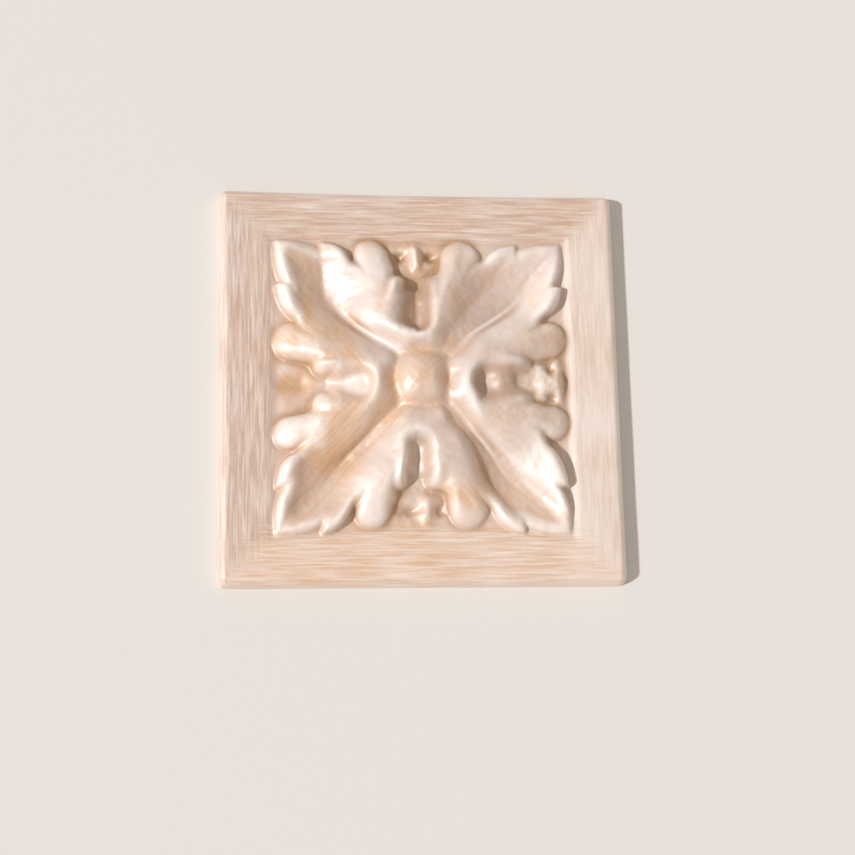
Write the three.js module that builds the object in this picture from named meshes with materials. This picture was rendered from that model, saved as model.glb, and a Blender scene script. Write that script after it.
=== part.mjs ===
// Square rosette: a small moulded ornament tile with a flat back, made in one piece.
// Four acanthus leaves stand inside a flat border and run from a square cushion boss
// to its corners. Where two leaves meet, at the middle of each side, they curl into a
// pair of limbs round a teardrop pocket with a small bud.
// Lengths are millimetres. The back lies on z = 0 and the relief faces +Z.
// Heights of the relief are measured from the face of the border.
import * as THREE from 'three';

// Plate
const SIDE = 63.5;
const THICKNESS = 3.1;
const CORNER_RADIUS = 1.6;
const TOP_EDGE_BOW = 0.35;
const LEFT_EDGE_BOW = 0.3;
const BOW_DEPTH = 7.0;
// The edge of the plate from the back to the face, as [distance in, height] steps
const EDGE_STEPS = [[0, 0], [0.25, 1.3], [0.6, 2.4], [1.1, 2.95], [1.7, THICKNESS]];

// Panel inside the border, where the ground dips a little round the leaves
const PANEL_HALF = 24.6;
const GROUND_LEVEL = -0.2;
const GROUND_RAMP = [22.4, PANEL_HALF];

// Boss in the middle
const BOSS_HALF = 4.65;
const BOSS_SQUARENESS = 3.0;
const BOSS_FOOT = 1.6;
const BOSS_RISE = 2.75;
const BOSS_SHOULDER = 1.25;
const BOSS_FULLNESS = 0.8;

// Leaf valley along each diagonal: its lowest point, how it climbs both ways, how its
// floor widens outwards, and how full its sides are near the boss and near the tip
const VALLEY_LOW = -0.95;
const VALLEY_LOW_AT = 20;
const VALLEY_IN_RISE = 2.7;
const VALLEY_IN_RUN = 14.5;
const VALLEY_OUT_RISE = 1.7;
const VALLEY_OUT_RUN = 13;
const VALLEY_SPLAY = 0.45;
const VALLEY_SPLAY_FROM = 19;
const VALLEY_SPLAY_BEND = 2;
const VALLEY_FULLNESS = [2.0, 1.3];
const VALLEY_FULLNESS_SPAN = [16, 23];

// Crest between two leaves: highest near the boss, with a collar that falls to it
const CREST_END = 2.15;
const CREST_RISE = 2.05;
const CREST_FADE = 10.5;
const CREST_FADE_POWER = 1.6;
const CREST_SPREAD = 0.49;
const COLLAR_RADIUS = 7.4;
const COLLAR_WIDTH = 2.6;
const COLLAR_DROP = 1.1;

// Limbs on both sides of each pocket, joined by an arch towards the boss.
// Places run sideways and outwards from the middle of the tile.
const ARCH_AT = 10.8;
const ARCH_HALF = 4.1;
const ARCH_REACH = 4.3;
const LIMB_SPREAD = 0.3;
const LIMB_BEND = 2;
const LIMB_DROOP = 0.026;
const LIMB_DROOP_FROM = 15;
const LIMB_DROOP_SPAN = [0.5, 0.8];
const SHOULDER_FALL = 0.13;
const SHOULDER_WIDTH = 3;
const POCKET_HALF = 2.0;
const POCKET_MOUTH_HALF = 1.0;
const POCKET_NARROWS = [11, 15.7];
const POCKET_WALL = 0.8;
const POCKET_FLOOR = 0.9;
const POCKET_FALL = 0.8;
const POCKET_FALLS = [9, 16];
const SPOON_RISE = 1.0;
const SPOON_FROM = 10.4;
const SPOON_RUN = 2.8;
const KNOB_AT = [2.7, 15.3];
const KNOB_RISE = 0.75;
const KNOB_WIDTH = 1.5;

// Bud between the ends of two limbs: a rough bed, a stalk and a hole on each side
const BED_LEVEL = 0.1;
const BED_SIDE = [2.4, 4.6];
const BED_START = [11, 14];
const BED_END = [21, 23];
const STALK_RISE = 0.75;
const STALK_WIDTH = 1.1;
const STALK_START = [17.3, 20];
const STALK_END = [21.5, 23.6];
const HOLE_AT = [2.5, 20.8];
const HOLE_RADIUS = 0.95;
const HOLE_DEPTH = 0.8;

// Outline of the leaves. The tip and the tooth run along the diagonal and across it,
// the limb and its knob sideways and outwards.
const EDGE_ROLL = 1.6;
const EDGE_ROLL_POWER = 2.2;
const TIP = { apex: [33.5, 0], axis: [1, 0], length: 8, width: 4.7, bluntness: 2.1, inner: 1 };
const TOOTH = { apex: [27.6, 5.15], axis: [0.977, 0.206], length: 5, width: 2.75, bluntness: 2.7, inner: 1.5 };
const LOBE_FLANK = 0.85;
const LIMB = { from: [5.4, 13.5], fromRadius: 3.4, to: [6.8, 20.0], toRadius: 3.25 };
const KNOB = { from: [3.2, 12.5], fromRadius: 2.2, to: [2.9, 15.8], toRadius: 2.1 };
const CORE_END = 15.0;
const CORE_STEP = 4.6;
const CORE_STEP_SPAN = [4, 9.5];
const WEB_STEP = 1.4;
const WEB_STEP_SPAN = [11, 14];

// Rim that turns up along the outer edge of the tip and the teeth
const RIM_RISE = 1.15;
const RIM_OUT = 19.15;
const RIM_SPLAY = 0.13;
const RIM_OUTER_WIDTH = 1.2;
const RIM_INNER_WIDTH = 2.3;
const RIM_START = [9.5, 12.5];

// How softly neighbouring forms run into one another
const LOBE_BLEND = 0.25;
const CORE_BLEND = 0.6;
const VALLEY_BLEND = 0.06;
const RIM_CORNER_BLEND = 2;
const KNOB_BLEND = 0.7;
const LIMB_BLEND = 0.4;
const BOSS_BLEND = 0.25;

// Facets: cells from the middle of the panel to the border
const PANEL_CELLS = 26;
const BORDER_LINE = 27.2;

const { clamp, lerp, smoothstep } = THREE.MathUtils;

// The larger of two heights, with the corner between them rounded over a height of k
function softMax(p, q, k) {
  const share = clamp(0.5 + 0.5 * (p - q) / k, 0, 1);
  return q + (p - q) * share + k * share * (1 - share);
}

// How deep a point lies inside a round-ended taper
function taperDepth(shape, u, v) {
  const du = shape.to[0] - shape.from[0];
  const dv = shape.to[1] - shape.from[1];
  const run = ((u - shape.from[0]) * du + (v - shape.from[1]) * dv) / (du * du + dv * dv);
  const along = clamp(run, 0, 1);
  const distance = Math.hypot(u - shape.from[0] - along * du, v - shape.from[1] - along * dv);
  return lerp(shape.fromRadius, shape.toRadius, along) - distance;
}

// How deep a point lies inside a pointed lobe that widens back from its apex
function lobeDepth(lobe, d, t) {
  const dd = d - lobe.apex[0];
  const dt = t - lobe.apex[1];
  const back = -(dd * lobe.axis[0] + dt * lobe.axis[1]);
  const across = dt * lobe.axis[0] - dd * lobe.axis[1];
  if (back < 0) return back;
  const taperLeft = Math.max(1 - back / lobe.length, 0);
  const halfWidth = lobe.width * (1 - taperLeft ** lobe.bluntness);
  const offset = across < 0 ? -across * lobe.inner : across;
  return LOBE_FLANK * (halfWidth - offset);
}

// How deep a point lies inside the outline of the leaves
function leafDepth(u, v, d, t) {
  const lobes = softMax(lobeDepth(TIP, d, t), lobeDepth(TOOTH, d, t), LOBE_BLEND);
  const web = WEB_STEP * smoothstep(u, ...WEB_STEP_SPAN);
  const core = CORE_END + CORE_STEP * smoothstep(u, ...CORE_STEP_SPAN) + web - v;
  const limb = softMax(taperDepth(LIMB, u, v), taperDepth(KNOB, u, v), KNOB_BLEND);
  return softMax(softMax(lobes, core, CORE_BLEND), limb, LIMB_BLEND);
}

// Height of the leaf's floor along the diagonal
function valleyFloor(d) {
  const inward = clamp((VALLEY_LOW_AT - d) / VALLEY_IN_RUN, 0, 1);
  const outward = clamp((d - VALLEY_LOW_AT) / VALLEY_OUT_RUN, 0, 1);
  const climbIn = VALLEY_IN_RISE * Math.sin(inward * Math.PI / 2) ** 2;
  const climbOut = VALLEY_OUT_RISE * Math.sin(outward * Math.PI / 2) ** 2;
  return VALLEY_LOW + climbIn + climbOut;
}

// Height of the leaf from its valley up to the crest it shares with the next leaf
function bladeHeight(u, v, d, t) {
  const radius = Math.hypot(u, v);
  const collar = Math.max((COLLAR_RADIUS - radius) / COLLAR_WIDTH, 0);
  const fade = Math.exp(-((radius / CREST_FADE) ** CREST_FADE_POWER));
  const crest = CREST_END + CREST_RISE * fade - COLLAR_DROP * collar ** 2;

  const past = d - VALLEY_SPLAY_FROM;
  const floorHalf = VALLEY_SPLAY / 2 * (past + Math.hypot(past, VALLEY_SPLAY_BEND));
  const up = d > 0 ? (t - floorHalf) / (CREST_SPREAD * d - floorHalf) : 1;
  const climb = Math.min((up + Math.hypot(up, VALLEY_BLEND)) / 2, 1);
  const fullness = lerp(...VALLEY_FULLNESS, smoothstep(d, ...VALLEY_FULLNESS_SPAN));
  const blade = lerp(valleyFloor(d), crest, 1 - (1 - climb) ** fullness);

  const drooping = Math.max(v - LIMB_DROOP_FROM, 0);
  const droopShare = d > 0 ? smoothstep(t / d / CREST_SPREAD, ...LIMB_DROOP_SPAN) : 1;
  return blade - LIMB_DROOP * drooping ** 2 * droopShare;
}

// Height of the rim over the blade, which falls away faster outwards than inwards
function rimHeight(u, v) {
  const inside = RIM_OUT + RIM_SPLAY * u - softMax(v, u, RIM_CORNER_BLEND);
  const width = inside > 0 ? RIM_INNER_WIDTH : RIM_OUTER_WIDTH;
  return RIM_RISE * Math.exp(-((inside / width) ** 2)) * smoothstep(u, ...RIM_START);
}

// Height inside the limbs: their shoulder falls from the blade to the floor of the pocket
function limbHeight(u, v, blade) {
  const past = v - ARCH_AT;
  const crestAt = ARCH_HALF + LIMB_SPREAD / 2 * (past + Math.hypot(past, LIMB_BEND) - LIMB_BEND);
  const inside = past < 0 ? Math.hypot(u, past * ARCH_HALF / ARCH_REACH) : u;
  const shoulder = SHOULDER_FALL * clamp(crestAt - inside, 0, SHOULDER_WIDTH) ** 2;
  const knobAway = Math.hypot(u - KNOB_AT[0], v - KNOB_AT[1]) / KNOB_WIDTH;
  const limb = blade - shoulder + KNOB_RISE * Math.exp(-(knobAway ** 2));
  const spoon = SPOON_RISE * clamp((SPOON_FROM - v) / SPOON_RUN, 0, 1) ** 2;
  const floor = POCKET_FLOOR - POCKET_FALL * smoothstep(v, ...POCKET_FALLS) + spoon;
  const wallAt = lerp(POCKET_HALF, POCKET_MOUTH_HALF, smoothstep(v, ...POCKET_NARROWS));
  return lerp(floor, limb, smoothstep(inside, wallAt - POCKET_WALL, wallAt + POCKET_WALL));
}

// Height of the ground round the leaves, with the bed, stalk and holes between the limbs
function groundHeight(u, v) {
  const side = 1 - smoothstep(u, ...BED_SIDE);
  const bed = side * smoothstep(v, ...BED_START) * (1 - smoothstep(v, ...BED_END));
  const stalkRun = smoothstep(v, ...STALK_START) * (1 - smoothstep(v, ...STALK_END));
  const stalk = STALK_RISE * Math.exp(-((u / STALK_WIDTH) ** 2)) * stalkRun;
  const holeAway = Math.hypot(u - HOLE_AT[0], v - HOLE_AT[1]) / HOLE_RADIUS;
  const hole = HOLE_DEPTH * Math.exp(-(holeAway ** 2));
  const dip = GROUND_LEVEL * (1 - smoothstep(v, ...GROUND_RAMP));
  return lerp(dip, BED_LEVEL, bed) + stalk - hole;
}

// How far out a point lies on the cushion boss: 0 at its middle and 1 at its foot
function bossReach(x, y) {
  const power = BOSS_SQUARENESS;
  return (Math.abs(x) ** power + Math.abs(y) ** power) ** (1 / power) / BOSS_HALF;
}

// Height of the whole relief over the face of the border. The pattern repeats in each
// eighth of the square: u runs sideways and v outwards, d along the diagonal and t across.
function reliefHeight(x, y) {
  const v = Math.max(Math.abs(x), Math.abs(y));
  const u = Math.min(Math.abs(x), Math.abs(y));
  if (v >= PANEL_HALF) return 0;
  const d = (v + u) / Math.SQRT2;
  const t = (v - u) / Math.SQRT2;

  const leaf = limbHeight(u, v, bladeHeight(u, v, d, t) + rimHeight(u, v));
  const edge = clamp(leafDepth(u, v, d, t) / EDGE_ROLL, 0, 1);
  let height = lerp(groundHeight(u, v), leaf, 1 - (1 - edge) ** EDGE_ROLL_POWER);

  const out = bossReach(x, y);
  if (out < 1) {
    const dome = Math.cos(out ** BOSS_SHOULDER * Math.PI / 2) ** BOSS_FULLNESS;
    height = softMax(height, BOSS_FOOT + BOSS_RISE * dome, BOSS_BLEND);
  }
  return height;
}

// Grid lines from one edge of the plate to the other: edge, border, panel, border, edge
function gridLines() {
  const half = [];
  for (let k = 0; k <= PANEL_CELLS; k += 1) half.push(k * PANEL_HALF / PANEL_CELLS);
  half.push(BORDER_LINE);
  for (const [inset] of [...EDGE_STEPS].reverse()) half.push(SIDE / 2 - inset);
  const other = half.slice(1).reverse().map((place) => -place);
  return [...other, ...half];
}

// Plan place of a grid point: round corners, and two edges that bow in a little
function planPlace(x, y) {
  const start = SIDE / 2 - CORNER_RADIUS;
  const over = new THREE.Vector2(Math.max(Math.abs(x) - start, 0), Math.max(Math.abs(y) - start, 0));
  let px = x;
  let py = y;
  if (over.x > 0 && over.y > 0) {
    const pull = Math.max(over.x, over.y) / over.length();
    px = Math.sign(x) * (start + over.x * pull);
    py = Math.sign(y) * (start + over.y * pull);
  }
  const arc = (place) => 1 - (2 * place / SIDE) ** 2;
  const topShare = smoothstep(py, SIDE / 2 - BOW_DEPTH, SIDE / 2);
  const leftShare = smoothstep(-px, SIDE / 2 - BOW_DEPTH, SIDE / 2);
  return [px + LEFT_EDGE_BOW * arc(py) * leftShare, py - TOP_EDGE_BOW * arc(px) * topShare];
}

// The whole tile as one closed surface: the face and edges on a grid, the back as a fan
function rosetteGeometry() {
  const lines = gridLines();
  const count = lines.length;
  const positions = [];
  for (let row = 0; row < count; row += 1) {
    for (let column = 0; column < count; column += 1) {
      const ring = Math.min(row, column, count - 1 - row, count - 1 - column);
      const [x, y] = planPlace(lines[column], lines[row]);
      const z = ring < EDGE_STEPS.length ? EDGE_STEPS[ring][1] : THICKNESS + reliefHeight(x, y);
      positions.push(x, y, z);
    }
  }

  const at = (row, column) => row * count + column;
  const triangles = [];
  for (let row = 0; row < count - 1; row += 1) {
    for (let column = 0; column < count - 1; column += 1) {
      const a = at(row, column);
      const b = at(row, column + 1);
      const c = at(row + 1, column + 1);
      const e = at(row + 1, column);
      const sameSigns = (lines[row] + lines[row + 1]) * (lines[column] + lines[column + 1]) > 0;
      if (sameSigns) triangles.push(a, b, c, a, c, e);
      else triangles.push(a, b, e, b, c, e);
    }
  }

  const last = count - 1;
  const rim = [];
  for (let k = 0; k < last; k += 1) rim.push(at(0, k));
  for (let k = 0; k < last; k += 1) rim.push(at(k, last));
  for (let k = last; k > 0; k -= 1) rim.push(at(last, k));
  for (let k = last; k > 0; k -= 1) rim.push(at(k, 0));
  const middle = positions.length / 3;
  positions.push(0, 0, 0);
  rim.forEach((vertex, k) => triangles.push(middle, rim[(k + 1) % rim.length], vertex));

  const geometry = new THREE.BufferGeometry();
  geometry.setAttribute('position', new THREE.Float32BufferAttribute(positions, 3));
  geometry.setIndex(triangles);
  geometry.computeVertexNormals();
  return geometry;
}

// Cast composition under a brushed off-white paint
const paintedCast = new THREE.MeshStandardMaterial({ color: 0xe4d0bd, roughness: 0.55, metalness: 0 });

const tile = new THREE.Mesh(rosetteGeometry(), paintedCast);
tile.name = 'rosette_tile';

const rosette = new THREE.Group();
rosette.add(tile);

export default rosette;
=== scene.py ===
# Square rosette: a small cast ornament tile with an acanthus relief, painted off-white and brushed.
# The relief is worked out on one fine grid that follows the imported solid. Sizes are in millimetres.
import math
import bpy
import numpy as np
from mathutils import Matrix, Vector


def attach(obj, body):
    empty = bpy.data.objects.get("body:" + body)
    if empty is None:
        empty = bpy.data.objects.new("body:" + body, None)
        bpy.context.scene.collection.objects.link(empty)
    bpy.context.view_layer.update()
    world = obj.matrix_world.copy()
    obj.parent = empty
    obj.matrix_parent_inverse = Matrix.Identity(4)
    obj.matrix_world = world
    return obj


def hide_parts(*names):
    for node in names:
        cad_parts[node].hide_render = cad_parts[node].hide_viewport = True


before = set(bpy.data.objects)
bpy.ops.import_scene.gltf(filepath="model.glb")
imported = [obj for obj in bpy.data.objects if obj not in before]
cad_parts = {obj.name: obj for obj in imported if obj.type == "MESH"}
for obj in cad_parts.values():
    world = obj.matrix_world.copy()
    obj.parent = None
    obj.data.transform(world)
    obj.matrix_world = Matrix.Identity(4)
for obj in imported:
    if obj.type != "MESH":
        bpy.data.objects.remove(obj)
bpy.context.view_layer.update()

# Plate: one square casting, taken to be filled resin or composition, with softly rounded edges and a
# flat back that it lies on or is glued down by. Its level border frames the leaves. The top and left
# edges bow in a little.
MM = 0.001
SIDE = 63.5
THICKNESS = 3.1
CORNER_RADIUS = 1.6
EDGE_WIDTH = 1.7
TOP_EDGE_BOW = 0.35
LEFT_EDGE_BOW = 0.3
BOW_DEPTH = 7.0
PANEL_HALF = 24.6
EDGE_LINES = 8
EDGE_CROWDING = 1.5
BORDER_LINES = 12
PANEL_LINES = 134


def smooth_step(low, high, value):
    """0 below low and 1 above high, with the cubic 3q^2 - 2q^3 between them."""
    q = np.clip((value - low) / (high - low), 0, 1)
    return q * q * (3 - 2 * q)


def soft_max(p, q, k):
    """The larger of p and q, with the corner between them rounded over a height of k."""
    share = np.clip(0.5 + 0.5 * (p - q) / k, 0, 1)
    return q + (p - q) * share + k * share * (1 - share)


def lumps(x, y, size, seed):
    """Smooth random bumps from -1 to 1: random values on a square lattice of that size in mm,
    blended between neighbours by smooth steps."""
    cells = 64
    values = np.random.default_rng(seed).uniform(-1, 1, (cells, cells))
    column, row = np.floor(x / size), np.floor(y / size)
    across, up = smooth_step(0, 1, x / size - column), smooth_step(0, 1, y / size - row)
    i, j = column.astype(int) % cells, row.astype(int) % cells
    next_i, next_j = (i + 1) % cells, (j + 1) % cells
    low = values[j, i] * (1 - across) + values[j, next_i] * across
    high = values[next_j, i] * (1 - across) + values[next_j, next_i] * across
    return low * (1 - up) + high * up


def plan_place(x, y):
    """Rounds the corners by pulling each square ring there to a circle, then bows two edges in
    by a parabola that fades out within BOW_DEPTH of the edge."""
    start = SIDE / 2 - CORNER_RADIUS
    over_x, over_y = np.maximum(np.abs(x) - start, 0), np.maximum(np.abs(y) - start, 0)
    length = np.hypot(over_x, over_y)
    in_corner = (over_x > 0) & (over_y > 0)
    pull = np.where(in_corner, np.maximum(over_x, over_y) / np.where(in_corner, length, 1), 1)
    px = np.where(in_corner, np.sign(x) * (start + over_x * pull), x)
    py = np.where(in_corner, np.sign(y) * (start + over_y * pull), y)
    left_share = smooth_step(SIDE / 2 - BOW_DEPTH, SIDE / 2, -px)
    top_share = smooth_step(SIDE / 2 - BOW_DEPTH, SIDE / 2, py)
    bowed_x = px + LEFT_EDGE_BOW * (1 - (2 * py / SIDE) ** 2) * left_share
    bowed_y = py - TOP_EDGE_BOW * (1 - (2 * px / SIDE) ** 2) * top_share
    return bowed_x, bowed_y


panel_lines = np.linspace(0, PANEL_HALF, PANEL_LINES + 1)
border_lines = np.linspace(PANEL_HALF, SIDE / 2 - EDGE_WIDTH, BORDER_LINES + 1)[1:]
edge_lines = SIDE / 2 - EDGE_WIDTH * np.linspace(1, 0, EDGE_LINES + 1)[1:] ** EDGE_CROWDING
half_lines = np.concatenate([panel_lines, border_lines, edge_lines])
grid_lines = np.concatenate([-half_lines[:0:-1], half_lines])
count = len(grid_lines)
grid_x, grid_y = np.meshgrid(grid_lines, grid_lines)
plate_x, plate_y = plan_place(grid_x, grid_y)

# Leaves: four acanthus leaves, modelled in the casting, that run from the middle to the corners.
# Each has a creased valley that strays a little from the diagonal, a pointed tip, and a tooth on both
# sides of the tip. Heights are measured from the face of the border.
VALLEY_LOW = -0.95
VALLEY_LOW_AT = 20
VALLEY_IN_RISE = 2.7
VALLEY_IN_RUN = 14.5
VALLEY_OUT_RISE = 1.2
VALLEY_OUT_RUN = 13
TIP_NARROWS = 0.6
TIP_NARROWS_FROM = 19
TIP_NARROWS_BEND = 2
VALLEY_BLEND = 0.06
CREASE_MIDS = {"top_left": -0.6, "top_right": -1.2, "bottom_left": 0.0, "bottom_right": 0.5}
CREASE_MID_AT = 19
CREASE_MID_WIDTH = 5
CREASE_ENDS = {"top_left": 3.5, "top_right": 0.0, "bottom_left": 0.0, "bottom_right": 0.0}
CREASE_END_SPAN = (19.5, 27)
CREASE_STOPS = (31, 34)
FLANK_STARTS_LOW = {"top": 0.12, "right": 0.12, "bottom": 0.15, "left": 0.12}
FLANK_STARTS_HIGH = {"top": 0.4, "right": 0.12, "bottom": 0.4, "left": 0.15}
FLANK_LEVELS_LOW = {"top": 0.15, "right": 0.16, "bottom": 0.16, "left": 0.16}
FLANK_LEVELS_HIGH = {"top": 0.22, "right": 0.16, "bottom": 0.22, "left": 0.16}
FLANK_FULLNESS_LOW = {"top": 1.6, "right": 2.1, "bottom": 2.3, "left": 2.1}
FLANK_FULLNESS_HIGH = {"top": 1.5, "right": 2.0, "bottom": 3.0, "left": 2.2}
TIP_FULLNESS_LOW = {"top": 1.4, "right": 2.3, "bottom": 1.4, "left": 1.4}
TIP_FULLNESS_HIGH = {"top": 1.4, "right": 1.4, "bottom": 1.4, "left": 1.4}
TIP_FULLNESS_SPAN = (16, 23)
CREST_END = 2.15
CREST_RISE = 2.05
CREST_FADE = 10.5
CREST_FADE_POWER = 1.6
SMALLEST_SPREAD = 0.1
CREST_SPREADS_LOW = {"top": 0.52, "right": 0.49, "bottom": 0.49, "left": 0.49}
CREST_SPREADS_HIGH = {"top": 0.62, "right": 0.49, "bottom": 0.49, "left": 0.49}
COLLAR_RADIUS = 7.4
COLLAR_WIDTH = 2.6
COLLAR_DROP = 1.1
LIMB_DROOP = 0.026
LIMB_DROOP_FROM = 15
LIMB_DROOP_SPAN = (0.5, 0.8)
EDGE_ROLL = 1.35
LIMB_ROLL = 2.3
LIMB_ROLL_SPAN = (9.0, 11.5)
EDGE_ROLL_POWER = 2.0
EDGE_ROLL_STEEPNESS = 0.55
LOBE_FLANK = 0.85
TIP = {"apex": (32.3, 0), "axis": (1, 0), "length": 8, "width": 4.5, "bluntness": 2.2, "inner": 1}
TOOTH = {
    "apex": (27.1, 5.0), "axis": (0.977, 0.206),
    "length": 5, "width": 2.75, "bluntness": 2.7, "inner": 1.5,
}
LIMB = {"start": (5.6, 13.5), "start_radius": 3.4, "end": (7.0, 20.1), "end_radius": 3.1}
KNOB = {"start": (3.2, 12.5), "start_radius": 2.2, "end": (3.0, 15.3), "end_radius": 2.0}
CORE_END = 15.0
CORE_STEP = 4.6
CORE_STEP_SPAN = (4, 9.5)
WEB_STEP = 1.4
WEB_STEP_SPAN = (11, 14)
LOBE_BLEND = 0.25
CORE_BLEND = 0.6
KNOB_BLEND = 0.7
LIMB_BLEND = 0.4
RIM_RISES = {"top": 0.5, "right": 0.5, "bottom": 0.5, "left": 0.8}
RIM_OUT = 18.7
RIM_SPLAY = 0.13
RIM_OUTER_WIDTH = 1.2
RIM_INNER_WIDTH = 1.6
RIM_START = (9.5, 12.5)
RIM_CORNER_BLEND = 2
WANDER = 0.32
WANDER_SIZE = 4.8
WANDER_FADE = (PANEL_HALF - 7, PANEL_HALF - 1)
SIDE_BLEND = 3.0
CORNER_DROP = 1.2
CORNER_DROP_DOWN = (9, 18)
CORNER_DROP_OUT = (9, 15)
ARCH_SHIFTS_LOW = {"top": -2.1, "right": -1.2, "bottom": 0.3, "left": -1.2}
ARCH_SHIFTS_HIGH = {"top": -0.3, "right": 0.4, "bottom": 0.5, "left": -0.4}
LIMB_SHIFTS_LOW = {"top": -0.9, "right": 0.7, "bottom": -1.1, "left": -1.5}
LIMB_SHIFTS_HIGH = {"top": -0.5, "right": 0.0, "bottom": -0.2, "left": -0.7}
POCKET_SHIFTS = {"top": -1.1, "right": -0.2, "bottom": -1.3, "left": -0.75}
BUD_SHIFTS = {"top": -0.8, "right": -0.2, "bottom": 0.3, "left": -0.6}
ARCH_TO_LIMB = (12, 18)
POCKET_TO_BUD = (16.5, 18.5)
POCKET_TO_LIMB = (1.5, 5.5)
SHIFT_START = (5, 9)
SHIFT_SIDE = (8, 14)


def by_corner(top_left, top_right, bottom_left, bottom_right):
    """One value for each quarter that the two middle lines cut the square into."""
    top_value = np.where(plate_x > 0, top_right, top_left)
    return np.where(plate_y > 0, top_value, np.where(plate_x > 0, bottom_right, bottom_left))


# Each crease leaves its diagonal by a bell halfway along and by a smooth step at the tip, and is back on
# it past the tip. Above 0 is towards the top or the bottom side, below 0 towards the right or the left.
crease_along = (np.abs(grid_x) + np.abs(grid_y)) / math.sqrt(2)
crease_mid = np.exp(-(((crease_along - CREASE_MID_AT) / CREASE_MID_WIDTH) ** 2))
crease_at = by_corner(**CREASE_MIDS) * crease_mid
crease_at = crease_at + by_corner(**CREASE_ENDS) * smooth_step(*CREASE_END_SPAN, crease_along)
crease_at = crease_at * (1 - smooth_step(*CREASE_STOPS, crease_along))
past_turn = np.abs(grid_x) - np.abs(grid_y) + math.sqrt(2) * crease_at


def by_side(top, right, bottom, left, blend=SIDE_BLEND):
    """One value for each quarter that the creases cut the square into, blended across them."""
    upright = smooth_step(-blend, blend, past_turn)
    level_value = np.where(grid_y > 0, top, bottom)
    return level_value + (np.where(grid_x > 0, right, left) - level_value) * upright


upright_side = past_turn > 0
along_side = np.where(upright_side, plate_y, plate_x)


def by_half(low, high, blend=SIDE_BLEND):
    """One value for each half of each side, low towards the left or the bottom and high the other way,
    blended across the creases."""
    level = {side: np.where(grid_x < 0, low[side], high[side]) for side in ("top", "bottom")}
    upright = {side: np.where(grid_y < 0, low[side], high[side]) for side in ("right", "left")}
    return by_side(**level, **upright, blend=blend)


def taper_depth(shape, u, v):
    """How deep a point lies inside a round-ended taper: the radius, which changes evenly from start
    to end, less the distance from the line between them."""
    (u0, v0), (u1, v1) = shape["start"], shape["end"]
    du, dv = u1 - u0, v1 - v0
    along = np.clip(((u - u0) * du + (v - v0) * dv) / (du * du + dv * dv), 0, 1)
    radius = shape["start_radius"] + (shape["end_radius"] - shape["start_radius"]) * along
    return radius - np.hypot(u - u0 - along * du, v - v0 - along * dv)


def lobe_depth(lobe, d, t):
    """How deep a point lies inside a pointed lobe: its half width grows back from the apex as
    1 - (1 - s)^bluntness over the lobe's length, less the distance from its axis, which counts for
    more on the inner side of a tooth."""
    dd, dt = d - lobe["apex"][0], t - lobe["apex"][1]
    back = -(dd * lobe["axis"][0] + dt * lobe["axis"][1])
    across = dt * lobe["axis"][0] - dd * lobe["axis"][1]
    left = np.clip(1 - back / lobe["length"], 0, 1)
    half_width = lobe["width"] * (1 - left ** lobe["bluntness"])
    offset = np.where(across < 0, -across * lobe["inner"], across)
    return np.where(back < 0, back, LOBE_FLANK * (half_width - offset))


def leaf_depth(u, v, d, t):
    """How deep a point lies inside the outline of the leaves: the largest of tip, tooth, core, limb
    and knob, softly joined."""
    lobes = soft_max(lobe_depth(TIP, d, t), lobe_depth(TOOTH, d, t), LOBE_BLEND)
    web = WEB_STEP * smooth_step(*WEB_STEP_SPAN, u)
    core = CORE_END + CORE_STEP * smooth_step(*CORE_STEP_SPAN, u) + web - v
    limb = soft_max(taper_depth(LIMB, u, v), taper_depth(KNOB, u, v), KNOB_BLEND)
    return soft_max(soft_max(lobes, core, CORE_BLEND), limb, LIMB_BLEND)


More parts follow.
